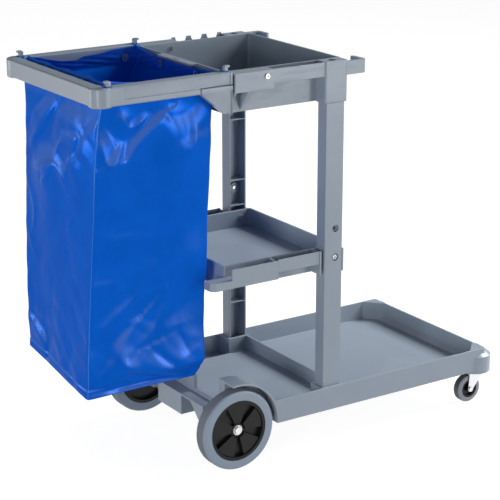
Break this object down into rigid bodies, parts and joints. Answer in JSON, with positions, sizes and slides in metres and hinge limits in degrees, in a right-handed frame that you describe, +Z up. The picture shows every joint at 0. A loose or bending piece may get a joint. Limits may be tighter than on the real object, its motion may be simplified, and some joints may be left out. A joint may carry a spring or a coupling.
{
  "type": "janitor cart",
  "caption": "Cleaning cart with a low platform, open shelf and top tray on posts, and a vinyl bag hung in a U-shaped push handle, on large rear wheels and swivel casters.",
  "frame": {"origin": "on the floor, under the middle of the cart's outline", "axes": "+X towards the front platform, +Y towards the side with the tool notches, +Z up"},
  "size_m": [1.188, 0.505, 1.003],
  "materials": {
    "grey_plastic": "satin moulded",
    "blue_vinyl": "glossy coated",
    "zinc_steel": "zinc plated",
    "black_plastic": "satin moulded",
    "grey_rubber": "matte"
  },
  "bodies": {
    "cart": {"base_platform": "grey_plastic", "near_post": "grey_plastic", "far_post": "grey_plastic", "middle_shelf": "grey_plastic", "top_tray": "grey_plastic", "handle_frame": "grey_plastic", "bag_grommets": "zinc_steel", "shelf_bolts": "zinc_steel", "shelf_nuts": "zinc_steel", "frame_bolts": "zinc_steel", "frame_nuts": "zinc_steel", "rear_axle": "zinc_steel", "axle_washers": "zinc_steel", "axle_push_nuts": "zinc_steel", "near_caster_stem": "zinc_steel", "near_caster_balls": "zinc_steel", "far_caster_stem": "zinc_steel", "far_caster_balls": "zinc_steel", "near_caster_cup": "black_plastic", "far_caster_cup": "black_plastic", "refuse_bag": "blue_vinyl"},
    "near_rear_wheel": {"near_rear_hub": "black_plastic", "near_rear_tyre": "grey_rubber"},
    "near_caster_swivel": {"near_caster_fork": "zinc_steel", "near_caster_bolt": "zinc_steel", "near_caster_nut": "zinc_steel"},
    "near_caster_wheel": {"near_caster_hub": "black_plastic", "near_caster_tyre": "grey_rubber"},
    "far_rear_wheel": {"far_rear_hub": "black_plastic", "far_rear_tyre": "grey_rubber"},
    "far_caster_swivel": {"far_caster_fork": "zinc_steel", "far_caster_bolt": "zinc_steel", "far_caster_nut": "zinc_steel"},
    "far_caster_wheel": {"far_caster_hub": "black_plastic", "far_caster_tyre": "grey_rubber"}
  },
  "joints": [
    {"name": "near_rear_wheel_roll", "type": "hinge", "parent": "cart", "child": "near_rear_wheel", "pos_m": [-0.228, -0.22375, 0.1016], "axis": [0, 1, 0], "continuous": true},
    {"name": "near_caster_swivel_turn", "type": "hinge", "parent": "cart", "child": "near_caster_swivel", "pos_m": [0.55, -0.2085, 0.0798], "axis": [0, 0, 1], "continuous": true},
    {"name": "near_caster_wheel_roll", "type": "hinge", "parent": "near_caster_swivel", "child": "near_caster_wheel", "pos_m": [0.528, -0.2085, 0.038], "axis": [0, 1, 0], "continuous": true},
    {"name": "far_rear_wheel_roll", "type": "hinge", "parent": "cart", "child": "far_rear_wheel", "pos_m": [-0.228, 0.22375, 0.1016], "axis": [0, 1, 0], "continuous": true},
    {"name": "far_caster_swivel_turn", "type": "hinge", "parent": "cart", "child": "far_caster_swivel", "pos_m": [0.55, 0.2085, 0.0798], "axis": [0, 0, 1], "continuous": true},
    {"name": "far_caster_wheel_roll", "type": "hinge", "parent": "far_caster_swivel", "child": "far_caster_wheel", "pos_m": [0.528, 0.2085, 0.038], "axis": [0, 1, 0], "continuous": true}
  ]
}
